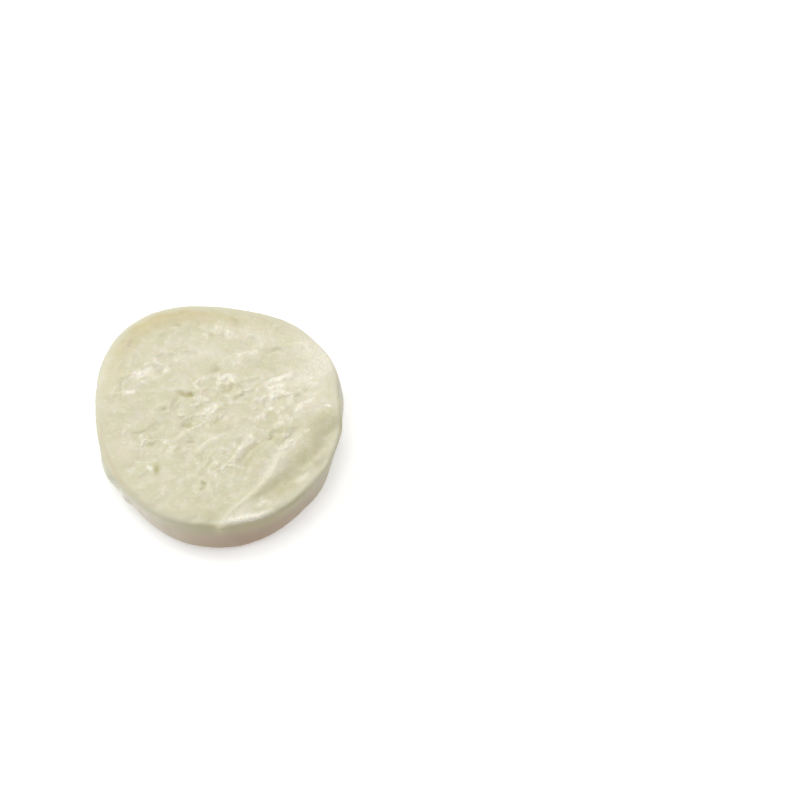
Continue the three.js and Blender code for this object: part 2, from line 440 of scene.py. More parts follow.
@dataclass(frozen=True)
class Lumps:
    """Soft lumps of curd drawn out along the fibres, rougher where they stand higher."""

    bearing: float
    length: float
    width: float
    height: float
    layer: float  # the first of three layers of noise that no other relief has
    broad: Ripple = Ripple(layer=0.0)  # grains are in the lumps' own lengths and widths
    middling: Ripple = Ripple(layer=1.0, length=1 / 2.4, width=1 / 2.2, height=0.5)
    fine: Ripple = Ripple(layer=2.0, length=1 / 6.5, width=1 / 4.4, height=0.17)
    crests: Pair = (-0.25, 0.35)  # the broad noise where a crest begins and is full
    smooth_broad: float = 0.35  # share of the broad lumps' height left on smooth curd
    smooth_fine: float = 0.12
    low_middling: float = 0.3  # share of the middling lumps' height left between crests

    def lift(self, x: float, y: float, torn: float) -> float:
        """The height of the lumps at (x, y), where the curd is so much torn.

        Args:
            x: the place's first coordinate.
            y: the place's second coordinate.
            torn: how torn the curd is there.

        Returns:
            Their height.
        """
        along, left = turned(x, y, self.bearing)
        broad, middling, fine = (
            ripple.at(along / self.length, left / self.width, self.layer)
            for ripple in (self.broad, self.middling, self.fine)
        )
        crest = smoothstep(broad, *self.crests)
        height = broad * lerp(self.smooth_broad, 1.0, torn)
        height += middling * lerp(self.low_middling, 1.0, crest) * torn
        height += fine * lerp(self.smooth_fine, 1.0, torn) * crest
        return self.height * height


@dataclass(frozen=True)
class Crumble:
    """Loose grains of curd, no two alike."""

    length: float = 0.9
    width: float = 0.72
    height: float = 0.45
    unevenness: float = 0.55  # how much higher or lower than that a grain can be
    slope: Pair = (0.05, 0.7)  # how far from a grain's middle its top ends and the gap begins
    scatter: float = 9.7  # sends the middles of neighbouring grains to unlike cells of the noise

    def grain(self, x: float, y: float) -> float:
        """How high the grains stand at (x, y).

        Args:
            x: the place's first coordinate.
            y: the place's second coordinate.

        Returns:
            Their height: 0 in the gaps, and 1 on the highest grains.
        """
        gaps, middles = noise.voronoi(Vector((x / self.length, y / self.width, 0.0)))
        height = self.height + self.unevenness * noise.cell(self.scatter * middles[0])
        return height * fading(gaps[0], *self.slope)


# ---- The slice's form ----


@dataclass(frozen=True)
class SliceForm:
    """The slice without its tears: outline, thickness, edges and skin."""

    face_radius: float = 32.4
    thickness: float = 12.5
    upper_edge: float = 1.0
    lower_edge: float = 1.7
    side_bulge: float = 0.2
    swells: tuple[Swell, ...] = (
        Swell(128, 32, 4.4),
        Swell(50, 20, 1.9),
        Swell(24, 16, 2.4),
        Swell(-4, 10, 1.3),
        Swell(-22, 16, 1.3),
        Swell(210, 28, -1.4),
        Swell(178, 24, -1.3),
        Swell(306, 16, 1.0),
    )
    foot_swells: tuple[Swell, ...] = (  # how far the foot stands out from under the upper face
        Swell(350, 18, -2.3),
        Swell(10, 18, 1.5),
        Swell(287, 24, 1.5),
        Swell(256, 20, 0.7),
        Swell(229, 26, -1.5),
        Swell(169, 24, 1.2),
        Swell(306, 16, -1.0),
    )
    knobs: tuple[Knob, ...] = (
        Knob(209, 7.5, 5.6, 1.3),
        Knob(225, 6.3, 2.5, 0.8),
        Knob(212, 10.4, 1.5, 0.5),
        Knob(218.5, 8.6, 1.3, -0.5),
        Knob(235, 4.0, 1.6, 0.4),
        Knob(200, 4.5, 2.0, 0.35),
        Knob(275.5, 11.6, 1.5, 0.7),
    )

    def outline(self, bearing: float) -> float:
        """The upper face's radius at a bearing."""
        return self.face_radius + sum(swell.out(bearing) for swell in self.swells)

    def skin_out(self, bearing: float, z: float) -> float:
        """How far the skin stands out from the straight side at a bearing and a height.

        Args:
            bearing: the bearing.
            z: the height.

        Returns:
            The distance, less than 0 in a hollow.
        """
        level = z / self.thickness
        out = self.side_bulge * 4.0 * level * (1.0 - level)
        out += (1.0 - level) * sum(swell.out(bearing) for swell in self.foot_swells)
        for knob in self.knobs:
            around = math.radians(bearing_gap(bearing, knob.bearing)) * self.face_radius
            out += knob.out * bump(math.hypot(around, z - knob.z), knob.size)
        return out

    def section(self, edge_steps: int, side_steps: int) -> list[tuple[float, float]]:
        """The straight-sided slice's section, from the rim of one flat face to the other's.

        Args:
            edge_steps: steps round each rounded edge.
            side_steps: steps down the side between the edges.

        Returns:
            Radius and height of each ring after the upper face's rim.
        """
        rings = []
        for step in range(1, edge_steps + 1):
            turn = math.radians(90.0 * step / edge_steps)
            radius = self.face_radius - self.upper_edge * (1.0 - math.sin(turn))
            rings.append((radius, self.thickness - self.upper_edge * (1.0 - math.cos(turn))))
        for step in range(1, side_steps + 1):
            top, foot = self.thickness - self.upper_edge, self.lower_edge
            rings.append((self.face_radius, lerp(top, foot, step / side_steps)))
        for step in range(1, edge_steps + 1):
            turn = math.radians(90.0 * step / edge_steps)
            radius = self.face_radius - self.lower_edge * (1.0 - math.cos(turn))
            rings.append((radius, self.lower_edge * (1.0 - math.sin(turn))))
        return rings


@dataclass(frozen=True)
class Roll:
    """Where the upper face rolls over to the skin instead of meeting it at a corner."""

    bearing: float
    spread: float
    width: float
    drop: float

    def fall(self, bearing: float, inset: float) -> float:
        """How far the face has rolled down at a bearing, inset from the rim."""
        fall = self.drop * bump(bearing_gap(bearing, self.bearing), self.spread)
        return fall * smoothstep(self.width - inset, 0.0, self.width) ** 2


@dataclass(frozen=True)
class UpperFace:
    """The relief of the upper cut face."""

    smooth_rim: float = 3.2  # the outer curd, under the skin, cuts smoother than the middle
    rim_bends: Ripple = Ripple(layer=30.0, length=6.0, width=6.0, height=0.8)  # in rim widths
    rim_end: Pair = (0.3, 1.4)  # where tears begin and are full, in rim widths
    rolls: tuple[Roll, ...] = (
        Roll(bearing=122, spread=38, width=5.5, drop=1.1),
        Roll(bearing=238, spread=38, width=3.2, drop=0.5),
        Roll(bearing=310, spread=14, width=3.0, drop=0.2),
    )
    fold: Fold = Fold(
        Line(
            (
                (2.9, -34.6),
                (3.7, -32.2),
                (5.7, -28.9),
                (7.7, -26.7),
                (10.2, -24.5),
                (12.7, -21.9),
                (15.2, -18.9),
                (16.9, -15.9),
                (18.0, -13.4),
                (19.0, -10.6),
                (20.6, -7.6),
                (22.2, -4.6),
                (23.2, -1.4),
                (25.2, 1.8),
                (28.4, 3.4),
                (34.4, 4.2),
            )
        )
    )
    fibres: tuple[Fibre, ...] = (
        Fibre.along(0.17, 0.7, (-9.9, -7.0), (-7.6, -5.3), (-5.3, -4.0), (-2.1, -2.8), (0.8, -1.0)),
        Fibre.along(0.17, 0.8, (-5.0, -12.0), (-3.2, -9.9), (-1.3, -8.1), (1.9, -6.4), (3.8, -5.0)),
        Fibre.along(0.225, 0.8, (4.3, -14.8), (6.3, -12.5), (7.6, -9.8), (9.1, -7.8)),
        Fibre.along(0.09, 1.5, (14.0, -19.2), (15.6, -16.2), (16.7, -13.3), (18.1, -11.0)),
        Fibre.along(0.19, 0.9, (15.5, -4.4), (16.9, -2.9), (18.1, -2.0), (19.7, -1.5)),
        Fibre.along(0.18, 0.9, (12.6, 8.9), (15.0, 9.7), (17.4, 10.6), (19.6, 11.6), (21.2, 12.9)),
        Fibre.along(0.08, 0.7, (13.2, 7.4), (15.6, 8.1), (18.2, 8.7), (20.6, 9.1)),
        Fibre.along(0.05, 1.1, (10.4, 5.5), (13.7, 6.3), (17.3, 6.9), (19.5, 7.6)),
        Fibre.along(0.14, 0.8, (11.1, 2.8), (13.1, 4.5), (17.1, 5.2)),
        Fibre.along(0.15, 0.9, (21.1, 1.5), (23.1, 3.0), (25.5, 4.5), (28.4, 5.2)),
        Fibre.along(0.15, 0.6, (23.9, 7.9), (25.9, 9.0), (28.3, 9.2)),
        Fibre.along(0.10, 1.4, (4.3, 13.0), (5.3, 15.2), (5.8, 17.4), (6.6, 19.2)),
        Fibre.along(0.125, 0.4, (-13.4, -7.8), (-10.9, -7.7), (-8.6, -8.1)),
        Fibre.along(0.125, 0.4, (-7.9, -10.4), (-5.9, -10.2), (-4.0, -10.9)),
        Fibre.along(0.125, 0.5, (-20.5, -14.0), (-17.7, -14.3), (-15.0, -13.8)),
        Fibre.along(0.075, 1.0, (20.1, -9.0), (22.1, -7.3), (23.7, -5.4)),
        Fibre.along(0.10, 0.5, (-4.0, -22.3), (-1.7, -22.7), (1.4, -22.0)),
        Fibre.along(0.10, 0.6, (-12.4, -24.0), (-12.0, -22.4), (-11.4, -20.6)),
        Fibre.along(0.275, 1.4, (4.6, -32.0), (8.1, -30.6), (13.1, -29.4), (18.0, -26.8)),
        Fibre.along(0.10, 0.8, (21.4, -20.0), (23.7, -18.6), (25.5, -16.3)),
        Fibre.along(0.175, 0.9, (11.6, -27.3), (14.2, -25.7), (16.9, -25.0)),
    )
    pits: tuple[Patch, ...] = (
        Patch(-8.3, 6.2, 1.7, 0.7, -24, -0.65),
        Patch(-6.2, 5.6, 1.2, 0.9, 8, -0.95),
        Patch(-6.8, -3.0, 1.9, 0.7, 10, -0.62),
        Patch(-14.1, -15.9, 1.3, 0.5, 90, -0.18),
        Patch(-1.6, -20.1, 0.8, 0.35, -35, -0.45),
        Patch(-24.6, 8.2, 1.9, 0.6, -75, -0.25),
        Patch(15.6, -6.9, 1.2, 0.7, 30, -0.42),
        Patch(17.9, -5.0, 1.2, 0.7, 42, -0.25),
        Patch(16.3, 19.4, 2.8, 0.7, 6, -0.4),
        Patch(23.1, 6.2, 1.8, 0.8, 36, -0.42),
        Patch(25.4, 8.2, 1.4, 0.6, 40, -0.2),
        Patch(9.8, 14.6, 4.5, 1.6, 8, -0.5),
        Patch(6.8, 21.6, 3.0, 0.6, -14, -0.3),
        Patch(4.1, 8.0, 2.2, 1.1, -10, -0.6),
        Patch(0.3, 13.8, 1.8, 1.1, 66, -0.6),
        Patch(2.1, -1.5, 2.6, 0.9, 28, -0.45),
        Patch(10.0, -10.8, 3.4, 1.9, 42, -0.36),
        Patch(-5.4, -8.8, 2.0, 0.5, 4, -0.4),
        Patch(-10.3, 3.7, 1.4, 0.6, 66, -0.4),
        Patch(-12.9, 1.6, 0.9, 0.7, 20, -0.4),
        Patch(-23.0, 20.6, 2.4, 0.6, 84, -0.20),
        Patch(-24.7, 13.8, 2.4, 0.9, 70, -0.15),
        Patch(-8.8, -4.8, 2.6, 1.0, 30, -0.25),
        Patch(-2.4, -3.4, 3.0, 0.8, 25, -0.3),
        Patch(5.1, 28.8, 1.5, 0.6, -34, -0.4),
        Patch(-10.4, 26.8, 1.2, 0.4, 4, -0.35),
        Patch(15.1, 27.2, 0.5, 0.3, 0, -0.35),
        Patch(13.4, 25.4, 0.5, 0.3, -30, -0.3),
        Patch(-26.3, -5.6, 1.2, 0.5, 10, -0.3),
    )
    crumbs: tuple[Patch, ...] = (
        Patch(-20.3, 12.0, 2.5, 1.5, 14, 0.45),
        Patch(-22.3, 6.5, 1.9, 0.8, 10, 0.5),
        Patch(-25.7, 4.0, 1.6, 0.7, 80, 0.20),
        Patch(-4.4, 9.5, 1.7, 0.5, 72, 0.50),
        Patch(-2.2, 10.7, 1.3, 0.6, 40, 0.35),
        Patch(3.4, 10.9, 2.0, 0.9, -2, 1.0),
        Patch(-1.1, 1.1, 2.6, 1.3, 46, 0.45),
        Patch(5.1, 3.7, 1.5, 0.6, 4, 0.35),
        Patch(6.3, 18.4, 1.6, 0.4, 6, 0.40),
        Patch(10.1, 18.5, 0.9, 0.6, 0, 0.30),
        Patch(-0.3, 26.2, 1.1, 1.3, 0, 0.35),
        Patch(2.8, 25.8, 0.8, 1.3, 0, 0.30),
        Patch(5.8, 26.0, 0.9, 0.6, 0, 0.20),
        Patch(-3.2, 23.8, 0.8, 0.5, 20, 0.35),
        Patch(-10.0, 22.0, 0.7, 1.2, 0, 0.20),
        Patch(-9.9, 17.5, 2.2, 1.4, -25, 0.20),
        Patch(-21.3, -8.8, 2.6, 1.0, -22, 0.30),
        Patch(-21.5, -3.6, 1.4, 0.8, 0, 0.25),
        Patch(15.6, 1.6, 0.9, 0.6, 14, 0.50),
        Patch(13.4, 0.9, 0.7, 0.7, 14, 0.30),
        Patch(23.1, 2.2, 1.0, 0.5, 20, 0.30),
        Patch(30.1, 2.4, 1.0, 0.4, 0, 0.40),
        Patch(12.0, 7.2, 1.2, 0.5, 40, 0.30),
        Patch(20.3, -9.2, 1.6, 1.2, 30, 0.35),
        Patch(-15.9, -15.8, 0.8, 0.6, 0, 0.45),
        Patch(-4.9, -18.0, 1.4, 0.6, 20, 0.30),
        Patch(2.8, -15.2, 3.6, 2.4, 40, 0.22),
        Patch(-8.4, -26.6, 0.8, 0.5, 0, 0.20),
        Patch(25.1, -17.6, 1.4, 0.6, 60, 0.20),
    )
    shoulder: Patch = Patch(28.0, 13.6, 8.0, 3.5, 112, 0.5)  # a long smooth swelling on the rim
    pale_curd_and_highlights: tuple[Patch, ...] = (  # where the curd is drier and whiter; some are painted highlights, on the lip's crescent at the near rim and on the strokes
        Patch(27.0, 9.5, 9.0, 4.5, 112, 0.28),
        Patch(26.5, 18.5, 7.0, 3.0, 125, 0.35),
        Patch(29.5, 18.0, 8.0, 1.5, 120, 0.40),
        Patch(13.5, 24.0, 7.0, 3.0, -25, 0.22),
        Patch(23.2, 21.0, 4.0, 2.2, 135, 0.22),
        Patch(-29.5, 13.0, 6.0, 1.2, 75, 0.22),
        Patch(9.0, 22.5, 9.0, 4.0, -8, 0.14),
        Patch(-2.6, 18.5, 4.4, 2.8, 0, 0.26),
        Patch(-15.0, 13.5, 3.0, 2.2, 60, 0.30),
        Patch(-26.8, 10.5, 6.0, 1.6, 80, 0.20),
        Patch(17.0, 8.0, 9.0, 4.5, 20, 0.15),
        # painted highlight on the lip's crescent at the near rim
        Patch(7.2, -31.2, 4.6, 1.7, 10, 1.0),
        Patch(12.4, -30.2, 4.0, 1.2, 16, 0.30),
        Patch(11.0, -26.4, 3.6, 1.6, 42, 0.16),
        Patch(17.0, 10.9, 2.3, 0.5, 22, 1.5),  # painted highlights on strokes of stretched curd
        Patch(17.0, 8.6, 1.7, 0.35, 15, 1.2),
        Patch(15.2, 5.6, 2.8, 0.4, 8, 0.45),
        Patch(15.4, 1.5, 1.2, 0.5, 8, 1.0),
        Patch(2.6, 11.1, 1.5, 0.6, 8, 1.4),
        Patch(1.3, 9.9, 0.5, 1.0, -20, 0.9),
        Patch(4.7, 10.2, 0.45, 0.9, 30, 0.9),
        Patch(-21.0, 11.6, 1.5, 0.8, 20, 1.3),
        Patch(-19.0, 12.7, 1.6, 0.6, 25, 0.9),
        Patch(-16.5, 10.8, 1.6, 0.5, -15, 0.3),
        Patch(-22.5, 6.8, 1.4, 0.5, 10, 0.9),
        Patch(9.8, 18.4, 2.6, 0.6, -4, 0.30),
        Patch(-10.2, 7.4, 3.0, 1.0, -10, 0.30),
        Patch(2.5, 17.5, 3.0, 1.4, 20, 0.22),
        Patch(10.3, 10.6, 3.2, 1.2, 12, 0.32),
        Patch(4.4, 15.4, 1.6, 1.6, 0, 0.22),
        Patch(21.8, 9.4, 2.4, 0.9, 25, 0.32),
        Patch(24.2, 11.6, 3.0, 2.4, 60, 0.20),
        Patch(25.0, -4.6, 1.8, 2.6, -10, 0.14),
        Patch(24.5, -7.4, 1.6, 2.2, -20, 0.22),
        Patch(19.4, -11.8, 1.6, 1.2, 40, 0.22),
        Patch(25.3, 1.4, 1.8, 1.0, 30, 0.30),
        Patch(30.1, 2.4, 1.2, 0.4, 0, 0.80),
        Patch(8.4, -4.2, 1.3, 3.2, -30, 0.22),
        Patch(12.5, -7.2, 2.2, 1.0, 40, 0.22),
        Patch(21.0, -6.5, 1.4, 2.4, 0, 0.18),
        Patch(18.8, -15.8, 4.0, 1.4, 38, 0.15),
        Patch(26.6, -20.2, 2.6, 1.0, 55, 0.35),
        Patch(-16.0, -15.7, 0.7, 0.6, 0, 0.70),
        Patch(29.0, 14.0, 2.4, 4.0, 0, 0.18),
    )
    damp_curd_and_shade: tuple[Patch, ...] = (  # where it is wetter and darker: whey in a few pits, and painted shade on the fold's slope, the lobe and along the near-left rim
        Patch(-0.5, -30.8, 5.5, 3.0, 5, 0.22),
        Patch(0.7, -32.6, 3.2, 1.4, 60, 0.18),
        Patch(18.9, -21.5, 4.2, 1.8, 44, 0.50),
        Patch(13.8, -22.4, 3.0, 1.6, 40, 0.16),
        Patch(24.6, -24.0, 6.0, 1.8, 46, 0.34),
        Patch(-20.6, -22.2, 6.0, 1.0, -44, 0.14),
        Patch(-26.0, -15.0, 6.0, 1.1, -61, 0.16),
        Patch(-29.2, -7.5, 4.0, 1.0, -78, 0.12),
        Patch(10.3, -12.0, 3.0, 1.7, 60, 0.42),
        Patch(17.5, -6.2, 2.2, 1.4, 52, 0.44),
        Patch(-0.2, -13.5, 1.9, 1.3, 20, 0.26),
        Patch(-7.2, -10.2, 2.4, 1.0, 0, 0.14),
        Patch(-14.0, -16.3, 1.5, 0.8, 90, 1.1),
        Patch(-1.6, -20.1, 0.8, 0.35, -35, 0.70),
        Patch(-18.6, -7.4, 3.4, 1.4, -10, 0.12),
        Patch(0.2, -17.8, 1.5, 2.2, 0, 0.14),
        Patch(5.0, -12.8, 2.6, 1.4, 40, 0.14),
        Patch(18.4, -2.6, 1.4, 2.4, 0, 0.16),
        Patch(12.0, -0.6, 2.0, 1.2, 30, 0.14),
        Patch(23.4, 6.4, 2.6, 1.0, 30, 0.20),
        Patch(14.6, -27.6, 1.8, 1.4, 20, 0.20),
        Patch(13.0, -9.4, 1.6, 1.2, 40, 0.20),
        Patch(4.2, -15.6, 3.4, 2.0, 35, 0.14),
        Patch(11.6, -15.2, 2.0, 3.2, 0, 0.14),
        Patch(-22.0, -7.6, 2.6, 1.6, 0, 0.14),
        Patch(10.2, 3.4, 1.6, 1.4, 0, 0.14),
        Patch(11.4, 6.6, 1.2, 2.8, 0, 0.14),
        Patch(5.0, 8.2, 1.3, 1.3, 0, 0.14),
        Patch(8.0, 13.8, 1.6, 0.9, 20, 0.16),
        Patch(1.8, 13.4, 0.9, 2.2, 0, 0.14),
        Patch(-22.6, 12.6, 1.0, 2.6, -30, 0.20),
        Patch(-23.0, 4.4, 2.0, 1.0, 20, 0.14),
        Patch(16.2, 25.8, 3.4, 1.6, -40, 0.14),
        Patch(-22.3, 19.8, 2.6, 1.4, 60, 0.12),
        Patch(-8.0, -4.6, 3.4, 1.3, 25, 0.22),
        Patch(-1.2, -3.1, 3.2, 1.2, 30, 0.24),
    )
    torn_curd: tuple[Patch, ...] = (  # where the knife dragged at the curd most
        Patch(3.5, 6.6, 9.0, 5.0, 10),
        Patch(-3.5, -0.4, 7.0, 5.0, 40, 0.8),
        Patch(3.5, -13.9, 9.0, 5.5, 38),
        Patch(18.5, 3.6, 8.0, 6.0, 30),
        Patch(17.5, -7.4, 7.0, 5.0, 45),
        Patch(-19.5, 12.6, 6.0, 4.0, 20, 0.7),
        Patch(0.6, 24.6, 7.0, 3.0, 0, 0.5),
        Patch(-20.5, -7.4, 6.0, 3.5, -20, 0.6),
        Patch(-11.4, 18.6, 6.0, 4.0, -20, 0.4),
        Patch(22.5, -18.9, 5.0, 3.0, 45, 0.6),
        Patch(-11.4, -8.4, 6.0, 3.0, 0, 0.4),
        Patch(14.4, -10.8, 2.8, 2.2, 45, -0.9),
        Patch(21.8, 13.4, 1.8, 2.2, 0, -0.9),
    )
    drag: Ripple = Ripple(layer=31.0, length=4.0, width=3.2, height=0.6)
    dragged: Pair = (0.0, 0.9)  # how much the knife dragged where tears begin and are full
    least_torn: float = 0.12
    tears: tuple[Tears, Tears] = (  # over the far side of the face, and over the near side
        Tears(bearing=12, spacing=4.4, height=0.120, wander=6.0, layer=10.0),
        Tears(bearing=42, spacing=3.8, height=0.096, wander=5.0, layer=20.0),
    )
    lumps: tuple[Lumps, Lumps] = (
        Lumps(bearing=8, length=5.0, width=2.8, height=0.78, layer=90.0),
        Lumps(bearing=40, length=5.0, width=2.6, height=0.62, layer=95.0),
    )
    lean: float = 0.45  # how much the line that parts the two sides rises to the right
    parting: Pair = (-6.0, 14.0)  # how far below it the far side ends and the near side is full
    grit: Ripple = Ripple(layer=51.0, length=0.75, width=0.7)
    grit_height: Pair = (0.02, 0.06)  # on smooth curd and on torn curd
    calming: float = 0.6  # share of the tears and lumps that the fold's slope lacks
    rough_rim: float = 1.6  # over which tears, lumps and grit come in from the rim
    crumble: Crumble = Crumble()
    crumb_ground: float = 0.1  # share of a crumb's height that its gaps have
    strewn: Ripple = Ripple(layer=40.0, length=2.4, width=1.8)
    strewing: Pair = (-0.05, 0.4)  # the strewn noise where loose crumbs begin and are full
    strewn_height: float = 0.4
    sways: tuple[Ripple, Ripple] = (  # along X and Y; fibres and pale curd sway half as far
        Ripple(layer=45.0, length=2.6, width=2.6, height=0.8),
        Ripple(layer=46.0, length=2.6, width=2.6, height=0.8),
    )
    crumb_white_and_highlight: float = 2.4  # whiteness of crumbs and painted highlight on their grains, for each millimetre of height
    white_gap: float = 0.4  # share of the whiteness that a crumb's gaps have
    fibre_highlight: float = 2.8  # painted highlight on the fibres' crests, for each millimetre of height
    tear_edge_highlight: float = 0.35  # painted highlight on a tear's raised edge
    hollow_shade_depth: Pair = (0.12, 0.95)  # how deep a hollow is when its painted shade begins, and when it is full
    slope_shade: float = 0.28  # painted shade on the fold's slope
    waves: Ripple = Ripple(layer=60.0, length=11.0, width=8.0, height=0.35)
    wave_rim: float = 4.0  # over which the waves come in from the rim

    def torn(self, x: float, y: float, inset: float) -> float:
        """How torn the face is at (x, y): near 0 where it is smooth, 1 where it is rough.

        Args:
            x: the place's first coordinate.
            y: the place's second coordinate.
            inset: how far the place is inside the rim.

        Returns:
            How torn it is, from 0 to 1.
        """
        rim = self.smooth_rim * (1.0 + self.rim_bends.at(x, y))
        inside = smoothstep(inset, *(share * rim for share in self.rim_end))
        dragged = min(summed(self.torn_curd, x, y), 1.0) + self.drag.at(x, y)
        return inside * lerp(self.least_torn, 1.0, smoothstep(dragged, *self.dragged))

    def rough(self, x: float, y: float, sway: Pair, torn: float) -> tuple[float, float]:
        """The relief that the knife left: tears, lumps and grit.

        Args:
            x: the place's first coordinate.
            y: the place's second coordinate.
            sway: how far the lumps are moved there.
            torn: how torn the face is there.

        Returns:
            Its height, and how near the place is to a tear's raised edge, from 0 to 1.
        """
        # The fibres lie flatter over the far side of the face and steeper over the near side.
        near = smoothstep(self.lean * x - y, *self.parting)
        (far_step, far_edge), (near_step, near_edge) = (tears.lift(x, y) for tears in self.tears)
        lumps = (lumps.lift(x + sway[0], y + sway[1], torn) for lumps in self.lumps)
        height = torn * lerp(far_step, near_step, near) + lerp(*lumps, near)
        height *= 1.0 - self.calming * self.fold.calm(x, y)
        height += lerp(*self.grit_height, torn) * self.grit.at(x, y)
        return height, lerp(far_edge, near_edge, near)

    def detail(self, x: float, y: float, inset: float) -> tuple[float, float, float]:
        """The fine relief of the face: fibres, pits, crumbs and what the knife left.

        Args:
            x: the place's first coordinate.
            y: the place's second coordinate.
            inset: how far the place is inside the rim.

        Returns:
            The height of the relief, how white the curd is with its painted highlights, and how wet
            it is with its painted shade, both from 0 to 1.
        """
        torn = self.torn(x, y, inset)
        sway = tuple(ripple.at(x, y) for ripple in self.sways)
        drawn, paling_and_painted_light = (
            summed(parts, x + sway[0] / 2, y + sway[1] / 2)
            for parts in (self.fibres, self.pale_curd_and_highlights)
        )
        sunk, heaped = (
            summed(parts, x + sway[0], y + sway[1]) for parts in (self.pits, self.crumbs)
        )
        strewn = smoothstep(self.strewn.at(x, y), *self.strewing) * self.strewn_height * torn
        crumbs, grain = heaped + strewn, self.crumble.grain(x, y)
        rough, edge = self.rough(x, y, sway, torn)

        height = drawn + sunk + crumbs * lerp(self.crumb_ground, 1.0, grain)
        height += rough * smoothstep(inset, 0.0, self.rough_rim)
        # White curd on crumbs, with painted highlights on crumb grains, fibre crests, tear edges
        # and the fold's lip.
        white_and_highlight = self.crumb_white_and_highlight * crumbs * (self.white_gap + grain) + self.fibre_highlight * drawn
        white_and_highlight += self.tear_edge_highlight * torn * edge + self.fold.lip_highlight(x, y) + paling_and_painted_light
        # Whey in damp patches, and painted shade in hollows by their depth and on the fold's slope.
        wet_and_shade = smoothstep(-height, *self.hollow_shade_depth) + summed(self.damp_curd_and_shade, x, y)
        wet_and_shade += self.slope_shade * self.fold.calm(x, y)
        return height, min(white_and_highlight, 1.0), min(wet_and_shade, 1.0)

    def broad(self, x: float, y: float, inset: float) -> float:
        """The broad relief at (x, y): the fold, the rolled rim, the shoulder and soft waves.

        Args:
            x: the place's first coordinate.
            y: the place's second coordinate.
            inset: how far the place is inside the rim.

        Returns:
            Its height.
        """
        fall = sum(roll.fall(bearing_of(x, y), inset) for roll in self.rolls)
        waves = self.waves.at(x, y) * smoothstep(inset, 0.0, self.wave_rim)
        return self.fold.lift(x, y) + self.shoulder.lift(x, y) - fall + waves


@dataclass(frozen=True)
class Tone:
    """A soft change of the skin's colour, strongest at one bearing."""

    bearing: float
    spread: float
    stray: Ripple  # of the bearing
    strength: float = 1.0

    def at(self, place: Vector) -> float:
        """How strong the tone is at a place."""
        bearing = bearing_of(place.x, place.y) + self.stray.at(place.x, place.y)
        return self.strength * bump(bearing_gap(bearing, self.bearing), self.spread)


@dataclass(frozen=True)
class Skin:
    """The ball's own skin, round the side: its relief and its tones, with painted light and painted
    shade among them.

    Levels are shares of the slice's thickness.
    """

    dimple: float = 0.16
    dimple_size: float = 4.5
    pleat: float = 0.06
    pleat_size: float = 1.6
    pleat_stretch: float = 4.0  # how much longer a pleat is up the side than round it
    pore: float = 0.03
    pore_size: float = 0.8
    depth: float = 3.0  # how far inside the rim its painted light and painted shade end
    roll_yellow: Tone = Tone(116, 43, Ripple(layer=0.0, length=5.0, width=5.0, height=14.0))
    roll_band: Run = (0.8, 3.2, 2.75, 8.8)  # how far inside the rim
    band_bends: Ripple = Ripple(layer=3.0, length=3.5, width=3.5, height=1.5)
    edge_yellow: Tone = Tone(288, 32, Ripple(layer=0.0, length=5.0, width=5.0, height=14.0), 0.9)
    edge_levels: Pair = (0.5, 0.8)
    edge_inset: float = 0.5
    # painted light, low on the near-left side where the lamps fall
    side_painted_light: Tone = Tone(222, 22, Ripple(layer=0.0, length=3.0, width=3.0, height=12.0), 0.7)
    painted_light_levels: Pair = (0.6, 1.0)
    # painted shade, warm and pinkish, low on the near side and on the near-left rim
    side_painted_shade: Tone = Tone(288, 56, Ripple(layer=0.0, length=6.0, width=6.0, height=10.0))
    painted_shade_levels: Pair = (0.42, 0.97)
    rim_painted_shade: Tone = Tone(208, 30, Ripple(layer=0.0, length=6.0, width=6.0, height=10.0), 0.3)
    rim_inset: float = 0.9  # of the middle of the painted shade on the near-left rim
    rim_spread: float = 0.6

    def out(self, place: Vector) -> float:
        """How far the skin stands out at a place on the side.

        Args:
            place: the place.

        Returns:
            The distance, less than 0 in a dimple.
        """
        drawn = Vector((place.x, place.y, place.z / self.pleat_stretch))
        dimples = self.dimple * noise.noise(place / self.dimple_size)
        pleats = self.pleat * noise.noise(drawn / self.pleat_size)
        return dimples + pleats + self.pore * noise.noise(place / self.pore_size)

    def yellow(self, place: Vector, level: float, inset: float) -> float:
        """How much yellower the curd is at a place: most where the face rolls over to the skin.

        Args:
            place: the place.
            level: its share of the slice's thickness.
            inset: how far it is inside the rim.

        Returns:
            How yellow it is, from 0 to 1.
        """
        band = inset + self.band_bends.at(place.x, place.y)
        edge = smoothstep(level, *self.edge_levels) * fading(inset, 0.0, self.edge_inset)
        roll = swelling(band, *self.roll_band) * self.roll_yellow.at(place)
        return roll + edge * self.edge_yellow.at(place)

    def paling_and_painted_light(self, place: Vector, level: float, inset: float) -> float:
        """How much painted light lies on the skin at a place: most low down on the left."""
        low = fading(level, *self.painted_light_levels) * fading(inset, 0.0, self.depth)
        return low * self.side_painted_light.at(place)

    def pink_painted_shade(self, place: Vector, level: float, inset: float) -> float:
        """How much painted shade, warm and pinkish, lies at a place: most low down on the near
        side, and on the near-left rim.

        Args:
            place: the place.
            level: its share of the slice's thickness.
            inset: how far it is inside the rim.

        Returns:
            How strong the painted shade is, from 0 to 1.
        """
        low = fading(level, *self.painted_shade_levels) * fading(inset, 0.0, self.depth)
        rim = bump(inset - self.rim_inset, self.rim_spread)
        return low * self.side_painted_shade.at(place) + rim * self.rim_painted_shade.at(place)


